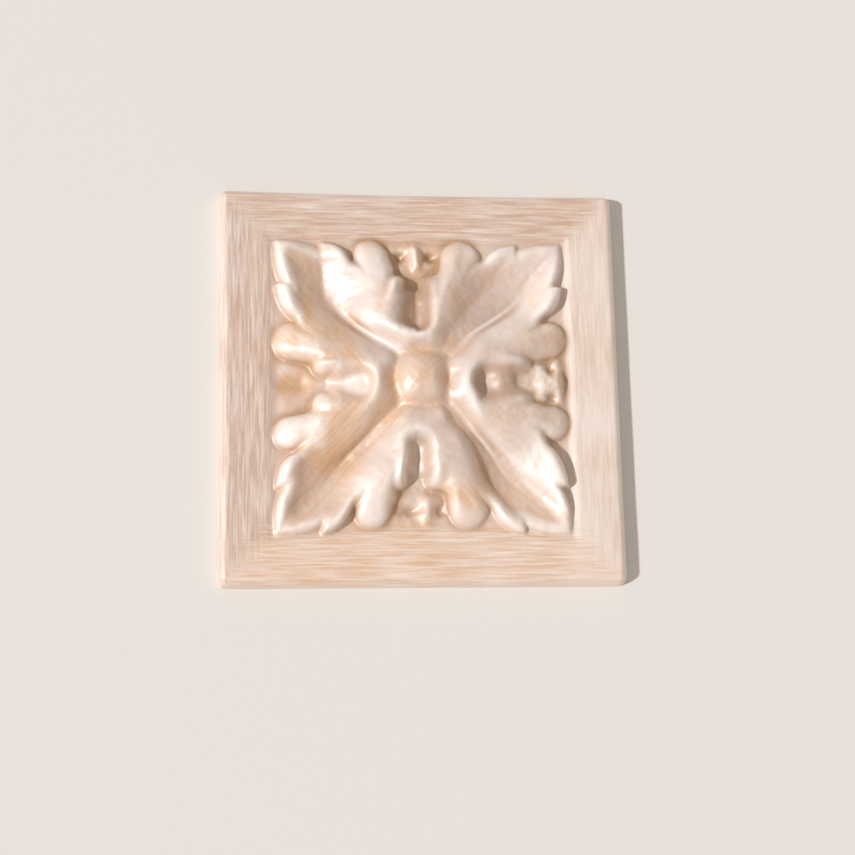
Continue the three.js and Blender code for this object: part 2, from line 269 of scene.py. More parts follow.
def blade_height(u, v, d, t, from_crease, crest_shift):
    """Height of a leaf from its valley, which sags along the leaf as squared sines, up to the crest
    that it shares with the next leaf and that draws in towards the tip: from the crease it climbs
    straight at first, then as a rounder flank, 1 - (1 - q)^fullness. crest_shift keeps the crest in its
    place where the crease strays from the diagonal."""
    inward = np.clip((VALLEY_LOW_AT - d) / VALLEY_IN_RUN, 0, 1)
    outward = np.clip((d - VALLEY_LOW_AT) / VALLEY_OUT_RUN, 0, 1)
    climb_in = VALLEY_IN_RISE * np.sin(inward * np.pi / 2) ** 2
    climb_out = VALLEY_OUT_RISE * np.sin(outward * np.pi / 2) ** 2
    floor = VALLEY_LOW + climb_in + climb_out
    radius = np.hypot(u, v)
    collar = np.maximum((COLLAR_RADIUS - radius) / COLLAR_WIDTH, 0)
    fade = np.exp(-((radius / CREST_FADE) ** CREST_FADE_POWER))
    crest = CREST_END + CREST_RISE * fade - COLLAR_DROP * collar ** 2
    past = d - TIP_NARROWS_FROM
    narrower = TIP_NARROWS / 2 * (past + np.hypot(past, TIP_NARROWS_BEND))
    spread = np.maximum(by_half(CREST_SPREADS_LOW, CREST_SPREADS_HIGH) * d, SMALLEST_SPREAD)
    up = from_crease / np.maximum(spread - narrower + crest_shift, SMALLEST_SPREAD)
    climb = np.minimum((up + np.hypot(up, VALLEY_BLEND)) / 2, 1)
    full_in = by_half(FLANK_FULLNESS_LOW, FLANK_FULLNESS_HIGH)
    full_out = by_half(TIP_FULLNESS_LOW, TIP_FULLNESS_HIGH)
    fullness = full_in + (full_out - full_in) * smooth_step(*TIP_FULLNESS_SPAN, d)
    start = by_half(FLANK_STARTS_LOW, FLANK_STARTS_HIGH)
    level = by_half(FLANK_LEVELS_LOW, FLANK_LEVELS_HIGH)
    flank = 1 - (1 - np.clip((climb - start) / (1 - start), 0, 1)) ** fullness
    share = level * np.minimum(climb / start, 1) + (1 - level) * flank
    droop = LIMB_DROOP * np.maximum(v - LIMB_DROOP_FROM, 0) ** 2
    return floor + (crest - floor) * share - droop * smooth_step(*LIMB_DROOP_SPAN, t / spread)


def rim_height(u, v):
    """Height of the turned-up rim over the blade: a bell across the edge, wider inwards than out."""
    inside = RIM_OUT + RIM_SPLAY * u - soft_max(v, u, RIM_CORNER_BLEND)
    width = np.where(inside > 0, RIM_INNER_WIDTH, RIM_OUTER_WIDTH)
    return by_side(**RIM_RISES) * np.exp(-((inside / width) ** 2)) * smooth_step(*RIM_START, u)


ring = np.maximum(np.abs(grid_x), np.abs(grid_y))
inside_panel = 1 - smooth_step(*WANDER_FADE, ring)
arch_shift = by_half(ARCH_SHIFTS_LOW, ARCH_SHIFTS_HIGH)
limb_shift = by_half(LIMB_SHIFTS_LOW, LIMB_SHIFTS_HIGH)
limb_shift = arch_shift + (limb_shift - arch_shift) * smooth_step(*ARCH_TO_LIMB, ring)
pocket_shift = by_side(**POCKET_SHIFTS)
at_bud = smooth_step(*POCKET_TO_BUD, ring)
pocket_shift = pocket_shift + (by_side(**BUD_SHIFTS) - pocket_shift) * at_bud
at_limb = smooth_step(*POCKET_TO_LIMB, np.abs(along_side))
side_shift = pocket_shift + (limb_shift - pocket_shift) * at_limb
side_shift = side_shift * smooth_step(*SHIFT_START, ring)
side_shift = side_shift * (1 - smooth_step(*SHIFT_SIDE, np.abs(along_side)))
relief_x = plate_x + WANDER * inside_panel * lumps(plate_x, plate_y, WANDER_SIZE, seed=1)
relief_y = plate_y + WANDER * inside_panel * lumps(plate_x, plate_y, WANDER_SIZE, seed=2)
corner_drop = smooth_step(*CORNER_DROP_DOWN, -plate_y) * smooth_step(*CORNER_DROP_OUT, np.abs(plate_x))
relief_y = relief_y + CORNER_DROP * corner_drop
relief_x = relief_x - np.where(upright_side, 0, side_shift)
relief_y = relief_y - np.where(upright_side, side_shift, 0)
outwards = np.maximum(np.abs(relief_x), np.abs(relief_y))
sideways = np.minimum(np.abs(relief_x), np.abs(relief_y))
along_leaf = (outwards + sideways) / math.sqrt(2)
across_leaf = (outwards - sideways) / math.sqrt(2)
level_half = np.where(np.abs(relief_y) > np.abs(relief_x), 1, -1)
past_crease = level_half * across_leaf - crease_at
from_crease = np.abs(past_crease)
crest_shift = -np.sign(past_crease) * crease_at
blade = blade_height(sideways, outwards, along_leaf, across_leaf, from_crease, crest_shift)
blade = blade + rim_height(sideways, outwards)
leaf_inside = leaf_depth(sideways, outwards, along_leaf, across_leaf)

# Limbs and pockets: where two leaves meet they curl into a pair of limbs, joined by an arch towards
# the middle, round a teardrop pocket. A knob on each limb narrows the pocket's mouth. No two pockets
# are alike, and a lump fills most of the right one.
ARCH_PLACES = {"top": 9.5, "right": 9.8, "bottom": 10.8, "left": 9.8}
ARCH_HALF = 3.4
ARCH_REACH = 3.0
LIMB_SPREAD = 0.34
LIMB_BEND = 2
POCKET_HALVES = {"top": 1.2, "right": 1.6, "bottom": 0.9, "left": 1.9}
POCKET_MOUTH_HALVES = {"top": 0.8, "right": 0.8, "bottom": 0.7, "left": 0.3}
POCKET_NARROWS = (9.5, 17)
POCKET_FLOORS = {"top": 0.6, "right": 1.0, "bottom": 0.7, "left": 1.7}
POCKET_MOUTH_LEVELS = {"top": 0.1, "right": 0.7, "bottom": 0.1, "left": -0.3}
POCKET_FALLS = (9, 16)
POCKET_FILLS = {"top": 0.0, "right": 1.7, "bottom": 0.0, "left": 0.0}
POCKET_FILL_SPAN = (8.6, 12.5)
FILL_WIDTHS = (1.5, 2.2)
FILL_ENDS = (12, 15.5)
FILL_END_SHARE = 0.45
FILL_LUMPS = 0.2
FILL_LUMP_SIZE = 1.8
BANK_FULLNESS_LOW = {"top": 3.2, "right": 1.8, "bottom": 2.6, "left": 2.4}
BANK_FULLNESS_HIGH = {"top": 1.5, "right": 2.0, "bottom": 1.8, "left": 2.4}
POCKET_BLEND = 0.35
RIDGE_RISES = (0.7, 0.4)
RIDGE_WIDTHS = (1.5, 2.8)
RIDGE_SPREADS = (7, 12)
RIDGE_END = (15, 20)
KNOB_AT = (2.5, 14.2)
KNOB_RISES_LOW = {"top": 1.2, "right": 0.5, "bottom": 1.0, "left": 0.8}
KNOB_RISES_HIGH = {"top": 0.4, "right": 0.9, "bottom": 0.8, "left": 1.2}
KNOB_SIZE = (1.3, 2.6)
KNOB_FOOT = (0, 0.6)


def limb_height(u, v, blade):
    """Height inside the limbs: from the floor of the pocket, which falls outwards and may hold a
    bell-shaped lump, the bank climbs as 1 - (1 - q)^fullness to a crest with a bell-shaped ridge, and
    a bell-shaped knob stands on the bank. Also gives the share of the climb."""
    past = v - by_side(**ARCH_PLACES)
    crest_at = ARCH_HALF + LIMB_SPREAD / 2 * (past + np.hypot(past, LIMB_BEND) - LIMB_BEND)
    inside = np.where(past < 0, np.hypot(u, past * ARCH_HALF / ARCH_REACH), u)
    floor_in = by_side(**POCKET_FLOORS)
    fill = by_side(**POCKET_FILLS) * smooth_step(*POCKET_FILL_SPAN, v)
    fill = fill * (1 - (1 - FILL_END_SHARE) * smooth_step(*FILL_ENDS, v))
    low_half = along_side < pocket_shift
    fill_bell = np.exp(-((u / np.where(low_half, *FILL_WIDTHS)) ** 2))
    fill = fill * fill_bell * (1 + FILL_LUMPS * lumps(plate_x, plate_y, FILL_LUMP_SIZE, seed=11))
    fall = (by_side(**POCKET_MOUTH_LEVELS) - floor_in) * smooth_step(*POCKET_FALLS, v)
    floor = floor_in + fall + fill
    pocket_half = by_side(**POCKET_HALVES)
    narrowing = (by_side(**POCKET_MOUTH_HALVES) - pocket_half) * smooth_step(*POCKET_NARROWS, v)
    foot_at = pocket_half + narrowing
    up = (inside - foot_at) / (crest_at - foot_at)
    climb = np.minimum((up + np.hypot(up, POCKET_BLEND)) / 2, 1)
    fullness = np.where(low_half, by_side(**BANK_FULLNESS_LOW), by_side(**BANK_FULLNESS_HIGH))
    share = 1 - (1 - climb) ** fullness
    spread = smooth_step(*RIDGE_SPREADS, v)
    ridge_width = RIDGE_WIDTHS[0] + (RIDGE_WIDTHS[1] - RIDGE_WIDTHS[0]) * spread
    ridge_rise = RIDGE_RISES[0] + (RIDGE_RISES[1] - RIDGE_RISES[0]) * spread
    ridge_bell = np.exp(-(((inside - crest_at) / ridge_width) ** 2))
    ridge = ridge_rise * ridge_bell * (1 - smooth_step(*RIDGE_END, v))
    rise = np.where(low_half, by_side(**KNOB_RISES_LOW), by_side(**KNOB_RISES_HIGH))
    knob_away = np.hypot((inside - KNOB_AT[0]) / KNOB_SIZE[0], (v - KNOB_AT[1]) / KNOB_SIZE[1])
    knob = rise * np.exp(-(knob_away ** 2)) * smooth_step(*KNOB_FOOT, share)
    return floor + (blade + ridge - floor) * share + knob, share


leaf, outside_pocket = limb_height(sideways, outwards, blade)

# Buds: between the ends of two limbs lies a rough bed with a short stalk and a hole on each side.
# They are part of the casting, with a rough face that the brush has hardly reached.
BED_LEVELS = {"top": -0.1, "right": 0.9, "bottom": -0.1, "left": 0.1}
BED_SIDE = (2.4, 4.6)
BED_START = (11, 14)
BED_END = (21, 23)
STALK_RISES = {"top": 1.0, "right": 0.7, "bottom": 0.55, "left": -0.7}
STALK_WIDTHS = {"top": 0.7, "right": 1.35, "bottom": 0.9, "left": 1.6}
STALK_START = (17.0, 19.2)
STALK_END = (21.0, 23.4)
HOLE_AT = (2.4, 20.4)
HOLE_RADIUS = 1.0
HOLE_DEPTHS = {"top": 1.1, "right": 1.2, "bottom": 0.8, "left": 0.0}
GROUND_LEVELS = {"top": -0.4, "right": -0.55, "bottom": -0.25, "left": -0.25}
GROUND_RAMP = (22.5, 24.4)
BED_ROUGHNESS = {"top": 0.08, "right": 0.14, "bottom": 0.08, "left": 0.04}
BED_GRIT = 0.7
FINE_GRIT_SHARE = 0.6
POCKET_START = (7, 8)
POCKET_END = (16, 18)
UNBRUSHED_START = (15, 17)
UNBRUSHED_END = (22, 23.2)
UNBRUSHED_SIDE = (4, 6)


def ground_height(u, v):
    """Height of the ground round the leaves: a shallow dip, raised to the bed by smooth steps, with a
    bell-shaped stalk along the middle and a bell-shaped hole beside it."""
    bed = (1 - smooth_step(*BED_SIDE, u)) * smooth_step(*BED_START, v) * (1 - smooth_step(*BED_END, v))
    run = smooth_step(*STALK_START, v) * (1 - smooth_step(*STALK_END, v))
    stalk = by_side(**STALK_RISES) * np.exp(-((u / by_side(**STALK_WIDTHS)) ** 2)) * run
    hole_away = np.hypot(u - HOLE_AT[0], v - HOLE_AT[1]) / HOLE_RADIUS
    hole = by_side(**HOLE_DEPTHS) * np.exp(-(hole_away ** 2))
    dip = by_side(**GROUND_LEVELS) * (1 - smooth_step(*GROUND_RAMP, v))
    return dip + (by_side(**BED_LEVELS) - dip) * bed + stalk - hole


ground = ground_height(sideways, outwards)
edge_roll = LIMB_ROLL + (EDGE_ROLL - LIMB_ROLL) * smooth_step(*LIMB_ROLL_SPAN, sideways)
leaf_share = 1 - (1 - np.clip(leaf_inside / edge_roll, 0, 1)) ** EDGE_ROLL_POWER
leaf_share = leaf_share ** EDGE_ROLL_STEEPNESS
relief = ground + (leaf - ground) * leaf_share
in_pocket = (1 - outside_pocket) * smooth_step(*POCKET_START, outwards)
in_pocket = in_pocket * (1 - smooth_step(*POCKET_END, outwards))
unbrushed = (1 - leaf_share) * smooth_step(*UNBRUSHED_START, outwards)
unbrushed = unbrushed * (1 - smooth_step(*UNBRUSHED_END, outwards))
unbrushed = unbrushed * (1 - smooth_step(*UNBRUSHED_SIDE, sideways))
grit = lumps(plate_x, plate_y, BED_GRIT, seed=3)
grit = grit + FINE_GRIT_SHARE * lumps(plate_x, plate_y, BED_GRIT / 2, seed=4)
relief = relief + by_side(**BED_ROUGHNESS) * unbrushed * grit

# Boss: a square cushion in the middle, domed and soft-cornered, where the four leaves meet. It is
# modelled in the same casting, and its foot runs softly into them.
BOSS_HALF = 4.9
BOSS_SQUARENESS = 2.8
BOSS_FOOT = 1.6
BOSS_RISE = 2.75
BOSS_SHOULDER = 1.25
BOSS_BLEND = 0.8
boss_power = np.abs(relief_x) ** BOSS_SQUARENESS + np.abs(relief_y) ** BOSS_SQUARENESS
boss_out = boss_power ** (1 / BOSS_SQUARENESS) / BOSS_HALF
boss_dome = np.cos(np.clip(boss_out, 0, 1) ** BOSS_SHOULDER * np.pi / 2)
on_boss = boss_out < 1
relief = np.where(on_boss, soft_max(relief, BOSS_FOOT + BOSS_RISE * boss_dome, BOSS_BLEND), relief)

# Whole casting: the relief, the level border and the rounded edge in one skin, closed by the flat back.
# Border and leaves are a little uneven, and the paint softens the sharpest corners.
EDGE_FULLNESS = 2.6
EDGE_DRAFT = 0.7
BORDER_UNEVEN = 0.05
BORDER_UNEVEN_SIZE = 9
PAINT_PASSES = 2
LEAF_UNEVEN = 0.09
LEAF_UNEVEN_SIZE = 2.2
LEAF_GRAIN = 0.04
LEAF_GRAIN_SIZE = 0.8


def blurred(field, passes):
    """Field after that many passes of the weights 1, 2, 1 along both directions of the grid."""
    for _ in range(passes):
        padded = np.pad(field, 1, mode="edge")
        field = (padded[:-2, 1:-1] + 2 * padded[1:-1, 1:-1] + padded[2:, 1:-1]) / 4
        padded = np.pad(field, 1, mode="edge")
        field = (padded[1:-1, :-2] + 2 * padded[1:-1, 1:-1] + padded[1:-1, 2:]) / 4
    return field


relief = blurred(np.where(outwards >= PANEL_HALF, 0, relief), PAINT_PASSES)
edge_in = np.clip((SIDE / 2 - ring) / EDGE_WIDTH, 0, 1)
edge_profile = (1 - (1 - edge_in) ** EDGE_FULLNESS) ** EDGE_DRAFT
uneven = BORDER_UNEVEN * lumps(plate_x, plate_y, BORDER_UNEVEN_SIZE, seed=5)
uneven = uneven + LEAF_UNEVEN * leaf_share * lumps(plate_x, plate_y, LEAF_UNEVEN_SIZE, seed=8)
uneven = uneven + LEAF_GRAIN * leaf_share * lumps(plate_x, plate_y, LEAF_GRAIN_SIZE, seed=10)
height = (THICKNESS + relief + uneven) * edge_profile

vertex = np.arange(count * count).reshape(count, count)
quads = np.stack([vertex[:-1, :-1], vertex[:-1, 1:], vertex[1:, 1:], vertex[1:, :-1]], axis=-1)
rim = np.concatenate([vertex[0, :-1], vertex[:-1, -1], vertex[-1, :0:-1], vertex[:0:-1, 0]])
back_middle = np.full_like(rim, count * count)
back_fan = np.stack([back_middle, np.roll(rim, -1), rim], axis=-1)
places = np.stack([plate_x, plate_y, height], axis=-1).reshape(-1, 3)
places = np.concatenate([places, np.zeros((1, 3))]) * MM
corners = np.concatenate([quads.ravel(), back_fan.ravel()])
quad_starts = 4 * np.arange(quads.size // 4)
fan_starts = quads.size + 3 * np.arange(len(rim))

mesh = bpy.data.meshes.new("rosette_casting")
mesh.vertices.add(len(places))
mesh.vertices.foreach_set("co", places.ravel())
mesh.loops.add(len(corners))
mesh.loops.foreach_set("vertex_index", corners)
mesh.polygons.add(len(quad_starts) + len(fan_starts))
mesh.polygons.foreach_set("loop_start", np.concatenate([quad_starts, fan_starts]))
mesh.update(calc_edges=True)
mesh.shade_smooth()
edge_ends = np.empty(2 * len(mesh.edges), int)
mesh.edges.foreach_get("vertices", edge_ends)
on_back = (places[:, 2] == 0)[edge_ends.reshape(-1, 2)].all(axis=1)
mesh.edges.foreach_set("use_edge_sharp", on_back)
rosette = bpy.data.objects.new("rosette_casting", mesh)
bpy.context.collection.objects.link(rosette)

# Paint: an off-white brushed on over a warm tan wash. The brush leaves fine streaks along each
# side and each leaf, catches the raised edges, and leaves the tan in the hollows. The brown there is
# partly that wash and partly painted shade. Paler slopes, rims, pockets and limb ends that face the
# lamp are painted highlight, and darker tan on the slopes and limbs turned away from it is painted shade.
BLUR_PASSES = 50
HOLLOW_DEPTH = 0.32
RUBBED_HEIGHT = 0.45
RUBBED_TAN_LOSS = 0.6
RUBBED_PALE = 0.5
CREASE_WIDTH = 0.45
CREASE_PALE = 0.4
CREASE_PAINT_START = (5, 8)
CREASE_PAINT_END = (15, 24)
WASH_SIZE = 6.0
FINE_WASH_SIZE = WASH_SIZE / 2.3
FINE_WASH_SHARE = 0.5
WASH_EDGE = (-0.4, 0.8)
LEAF_TAN = {"top": 1.0, "right": 0.6, "bottom": 0.7, "left": 1.0}
# Paler pocket floors and banks where the lamp reaches them, most in the left and the bottom pocket: painted
# highlight.
POCKET_HIGHLIGHT = {"top": 0.0, "right": 0.2, "bottom": 0.8, "left": 1.0}
POCKET_HIGHLIGHT_SHARE = 0.65
TIP_PAINT = (17.5, 22)
TIP_TAN_LOSS = 0.6
TIP_TAN_LOSS_SPAN = (21, 25)
TIP_TANS = {"top_left": 0.0, "top_right": 0.0, "bottom_left": 0.38, "bottom_right": 0.0}
# Paler tips, most at the top right and the bottom right, where they face the lamp: painted highlight.
TIP_HIGHLIGHTS = {"top_left": 0.05, "top_right": 0.2, "bottom_left": 0.0, "bottom_right": 0.2}
# Paler flanks on the halves that face the lamp are painted highlight; tan on the halves turned away from it
# is painted shade.
FLANK_HIGHLIGHTS_LOW = {"top": 0.12, "right": 0.22, "bottom": 0.12, "left": 0.0}
FLANK_HIGHLIGHTS_HIGH = {"top": 0.0, "right": 0.3, "bottom": 0.0, "left": 0.0}
FLANK_SHADES_LOW = {"top": 0.0, "right": 0.0, "bottom": 0.1, "left": 0.25}
FLANK_SHADES_HIGH = {"top": 0.0, "right": 0.0, "bottom": 0.35, "left": 0.2}
FLANK_PAINT_BLEND = 0.6
FLANK_PAINT_START = (9, 13)
FLANK_PAINT_END = (0.3, 0.5)
FLANK_HIGHLIGHT_END = (22, 27)
LIMB_PAINT_START = (13, 18)
LIMB_PAINT_SIDE = (9, 11)
# Paler limb ends where they face the lamp are painted highlight. Darker tan on the limbs turned away from
# it is partly the wash and partly painted shade.
LIMB_HIGHLIGHTS_LOW = {"top": 0.35, "right": 0.1, "bottom": 0.55, "left": 0.6}
LIMB_HIGHLIGHTS_HIGH = {"top": 0.05, "right": 0.0, "bottom": 0.05, "left": 0.25}
LIMB_TANS_AND_SHADES_LOW = {"top": 0.0, "right": 0.15, "bottom": 0.0, "left": 0.0}
LIMB_TANS_AND_SHADES_HIGH = {"top": 0.3, "right": 0.2, "bottom": 0.45, "left": 0.1}
# Paler rims on the sides that face the lamp: painted highlight.
RIM_HIGHLIGHTS_LOW = {"top": 0.0, "right": 0.0, "bottom": 0.15, "left": 0.5}
RIM_HIGHLIGHTS_HIGH = {"top": 0.0, "right": 0.0, "bottom": 0.55, "left": 0.7}
RIM_PAINT = (1.2, 2.2)
RIM_PAINT_START = (9.5, 12)
BUD_TAN = {"top": 0.5, "right": 0.2, "bottom": 0.3, "left": 0.9}
BUD_TAN_WIDTH = 1.8
# Paler buds: pale paint, and on the bright right bud painted highlight as well.
BUD_PALE_AND_HIGHLIGHT = {"top": 0.2, "right": 0.6, "bottom": 0.1, "left": 0.1}
# Brown on the pocket floors: partly the wash, partly painted shadow where a bank or knob shades the floor.
# The left pocket, which the lamp reaches, gets none.
POCKET_SHADE_AND_STAIN = {"top": 0.8, "right": 0.6, "bottom": 0.4, "left": 0.0}
POCKET_SHADE_AND_STAIN_SHARE = 0.75
POCKET_SHADE_AND_STAIN_EDGE = (0.05, 0.5)
BOSS_TAN = 0.55
OFF_BOSS = (7, 10)
TIP_LESS_SHADE = 0.7
TIP_LESS_SHADE_ALONG = (18, 24)
TIP_LESS_SHADE_SIDE = (8, 11)
BORDER_TAN = {"top": 0.2, "right": 0.15, "bottom": 0.65, "left": 0.05}
# The border is painted paler on the right side and along the bottom.
BORDER_PALE = {"top": 0.05, "right": 0.63, "bottom": 0.53, "left": 0.0}
LEAF_PALE = {"top": 0.33, "right": 0.3, "bottom": 0.35, "left": 0.33}
BORDER_START = (21.5, 23.5)
BORDER_WASH_TAN = 0.12
BORDER_WASH_PALE = 0.1
EDGE_PALE = 0.5
LEAF_BRUSH = 0.3
STROKE_TURN = 3.0
TURN_RAGGED = 2.5
LEAF_STREAK_OFFSETS = (40, 90)
# Brown in the hollows, by side: partly the tan wash settled there, partly painted shade.
SIDE_SHADE_AND_STAIN = {"top": 0.9, "right": 0.75, "bottom": 0.7, "left": 0.7}

stands_out = relief - blurred(relief, BLUR_PASSES)
hollow = np.clip(-stands_out / HOLLOW_DEPTH, 0, 1)
rubbed = np.clip(stands_out / RUBBED_HEIGHT, 0, 1)
crease = np.exp(-((from_crease / CREASE_WIDTH) ** 2))
crease = crease * (1 - smooth_step(*CREASE_PAINT_END, along_leaf))
crease = crease * smooth_step(*CREASE_PAINT_START, along_leaf)
on_border = (1 - leaf_share) * smooth_step(*BORDER_START, ring)
clouds = lumps(plate_x, plate_y, WASH_SIZE, seed=6)
clouds = clouds + FINE_WASH_SHARE * lumps(plate_x, plate_y, FINE_WASH_SIZE, seed=7)
leaf_tan = np.clip(smooth_step(*WASH_EDGE, clouds) * by_side(**LEAF_TAN) + BOSS_TAN * on_boss, 0, 1)
at_tip = smooth_step(*TIP_PAINT, along_leaf)
tip_loss = TIP_TAN_LOSS * smooth_step(*TIP_TAN_LOSS_SPAN, along_leaf)
leaf_tan = leaf_tan * (1 - tip_loss) + by_corner(**TIP_TANS) * at_tip
# Limb ends: painted highlight where they face the lamp, tan and painted shade where they are turned away.
limb_end = smooth_step(*LIMB_PAINT_START, outwards)
limb_end = limb_end * (1 - smooth_step(*LIMB_PAINT_SIDE, sideways)) * leaf_share
limb_highlight = by_half(LIMB_HIGHLIGHTS_LOW, LIMB_HIGHLIGHTS_HIGH) * limb_end
# Painted highlight on the flanks that face the lamp, painted shade on those turned away from it.
on_flank = smooth_step(*FLANK_PAINT_START, along_leaf)
on_flank = on_flank * (1 - smooth_step(*FLANK_PAINT_END, across_leaf / along_leaf))
off_end = 1 - smooth_step(*FLANK_HIGHLIGHT_END, along_leaf)
flank_highlight = by_half(FLANK_HIGHLIGHTS_LOW, FLANK_HIGHLIGHTS_HIGH, FLANK_PAINT_BLEND) * on_flank
flank_highlight = flank_highlight * off_end * leaf_share
flank_shade = by_half(FLANK_SHADES_LOW, FLANK_SHADES_HIGH, FLANK_PAINT_BLEND) * on_flank * leaf_share
# Painted highlight on the rims that face the lamp.
on_rim = leaf_share * (1 - smooth_step(*RIM_PAINT, leaf_inside))
on_rim = on_rim * smooth_step(*RIM_PAINT_START, sideways)
rim_highlight = by_half(RIM_HIGHLIGHTS_LOW, RIM_HIGHLIGHTS_HIGH, FLANK_PAINT_BLEND) * on_rim
limb_tan_and_shade = by_half(LIMB_TANS_AND_SHADES_LOW, LIMB_TANS_AND_SHADES_HIGH) * limb_end
leaf_tan = (leaf_tan + flank_shade + limb_tan_and_shade) * (1 - limb_highlight) * (1 - flank_highlight) * (1 - rim_highlight)
leaf_tan = leaf_tan + by_side(**BUD_TAN) * unbrushed * np.exp(-((sideways / BUD_TAN_WIDTH) ** 2))
border_tan = by_side(**BORDER_TAN) + BORDER_WASH_TAN * clouds
tan = np.clip(leaf_tan + (border_tan - leaf_tan) * on_border, 0, 1)
tan = tan * (1 - RUBBED_TAN_LOSS * rubbed)
# Less tan where the pockets get painted highlight.
tan = tan * (1 - by_side(**POCKET_HIGHLIGHT) * in_pocket)
border_pale = by_side(**BORDER_PALE) - BORDER_WASH_PALE * clouds
leaf_pale = by_side(**LEAF_PALE) + RUBBED_PALE * rubbed + by_corner(**TIP_HIGHLIGHTS) * at_tip
leaf_pale = leaf_pale + limb_highlight + flank_highlight + rim_highlight
pale = leaf_pale + (border_pale - leaf_pale) * on_border + CREASE_PALE * crease
pale = pale + POCKET_HIGHLIGHT_SHARE * by_side(**POCKET_HIGHLIGHT) * in_pocket + by_side(**BUD_PALE_AND_HIGHLIGHT) * unbrushed
pale = np.clip(pale + EDGE_PALE * (1 - edge_in), 0, 1)
brush = (LEAF_BRUSH + (1 - LEAF_BRUSH) * on_border) * (1 - in_pocket) * (1 - unbrushed)
off_boss = smooth_step(*OFF_BOSS, ring)
off_tip = TIP_LESS_SHADE * smooth_step(*TIP_LESS_SHADE_ALONG, along_leaf)
off_tip = 1 - off_tip * smooth_step(*TIP_LESS_SHADE_SIDE, sideways)
# Brown in the hollows, less on the boss, the creases and the tips: partly the wash, partly painted shade.
shade_and_stain = hollow * by_side(**SIDE_SHADE_AND_STAIN) * (1 - crease) * off_boss * off_tip
# Inside the pockets the brown follows the pocket floor: painted shadow, partly wash.
shade_and_stain = shade_and_stain * (1 - (1 - by_side(**POCKET_SHADE_AND_STAIN)) * in_pocket)
pocket_floor = smooth_step(*POCKET_SHADE_AND_STAIN_EDGE, in_pocket)
shade_and_stain = np.maximum(shade_and_stain, POCKET_SHADE_AND_STAIN_SHARE * by_side(**POCKET_SHADE_AND_STAIN) * pocket_floor)
leaf_seed = np.sign(plate_x) * LEAF_STREAK_OFFSETS[0] + np.sign(plate_y) * LEAF_STREAK_OFFSETS[1]
leaf_stroke = np.stack([across_leaf, along_leaf, leaf_seed], axis=-1)
turn_place = np.abs(grid_x) - np.abs(grid_y) + TURN_RAGGED * lumps(plate_x, plate_y, TURN_RAGGED, seed=9)
upright = smooth_step(-STROKE_TURN, STROKE_TURN, turn_place)


def store(name, kind, field, values):
    """Keeps one value for each vertex in a named attribute of the mesh, with 0 for the back's middle."""
    flat = values.reshape(count * count, -1)
    closed = np.concatenate([flat, np.zeros((1, flat.shape[1]))])
    mesh.attributes.new(name, kind, "POINT").data.foreach_set(field, closed.ravel())


store("tan", "FLOAT", "value", tan)
store("pale", "FLOAT", "value", pale)
# The brown share is partly the wash and partly painted shade and shadow.
store("shade_and_stain", "FLOAT", "value", shade_and_stain)
store("unbrushed", "FLOAT", "value", unbrushed)
store("brush", "FLOAT", "value", brush)
store("on_border", "FLOAT", "value", on_border)
store("upright", "FLOAT", "value", upright)
store("leaf_stroke_mm", "FLOAT_VECTOR", "vector", leaf_stroke)


def linear(hex_colour):
    """An sRGB hex colour as linear red, green, blue and alpha: a straight line for the darkest values,
    then ((c + 0.055) / 1.055)^2.4."""
    channels = [int(hex_colour[k:k + 2], 16) / 255 for k in (1, 3, 5)]
    return [c / 12.92 if c <= 0.04045 else ((c + 0.055) / 1.055) ** 2.4 for c in channels] + [1.0]


# The material is taken to be brushed emulsion with some mica in it, over a tan wash. The eye gets a matt,
# streaky ground with a soft pearly sheen. The coat gives the sheen, and its IOR is above that of plain
# varnish because mica mirrors more.
paint = bpy.data.materials.new("brushed_off_white_over_tan_wash")
paint.use_nodes = True
nodes = paint.node_tree.nodes
nodes.clear()


def node(kind, inputs, **settings):
    """Adds a node, sets its properties, and fills each input with a value or a link."""
    made = nodes.new(kind)
    for name, value in settings.items():
        setattr(made, name, value)
    for name, value in inputs.items():
        if isinstance(value, bpy.types.NodeSocket):
            paint.node_tree.links.new(value, made.inputs[name])
        else:
            made.inputs[name].default_value = value
    return made


# Sizes are in millimetres. Mica flecks are finer than this, and are drawn coarser so that they show.
# Their white dots in the colour stand in for the mica's glints: painted highlight.
STREAK_SPACING = 0.38
STREAK_LENGTH = 7.0
SPECK_SIZE = 0.24
STREAK_BUMP = 0.03
SPECK_BUMP = 0.08
BASE_BEIGE = "#c0a190"
PALE_CREAM = "#efe5dd"
TAN_WASH = "#d9a877"
STREAK_CREAM = "#f3e7dc"
FLECK_GLINT_WHITE = "#f8f1ea"
# This brown serves both the wash in the hollows and painted shade.
SHADE_AND_STAIN_BROWN = "#a97f55"
SPECK_TAN = "#c9a47c"
object_place = node("ShaderNodeTexCoord", {}).outputs["Object"]
tan_share = node("ShaderNodeAttribute", {}, attribute_name="tan").outputs["Fac"]
pale_share = node("ShaderNodeAttribute", {}, attribute_name="pale").outputs["Fac"]
shade_and_stain_share = node("ShaderNodeAttribute", {}, attribute_name="shade_and_stain").outputs["Fac"]
unbrushed_share = node("ShaderNodeAttribute", {}, attribute_name="unbrushed").outputs["Fac"]
brush_share = node("ShaderNodeAttribute", {}, attribute_name="brush").outputs["Fac"]
on_border_share = node("ShaderNodeAttribute", {}, attribute_name="on_border").outputs["Fac"]
upright_share = node("ShaderNodeAttribute", {}, attribute_name="upright").outputs["Fac"]
leaf_stroke_place = node("ShaderNodeAttribute", {}, attribute_name="leaf_stroke_mm").outputs["Vector"]


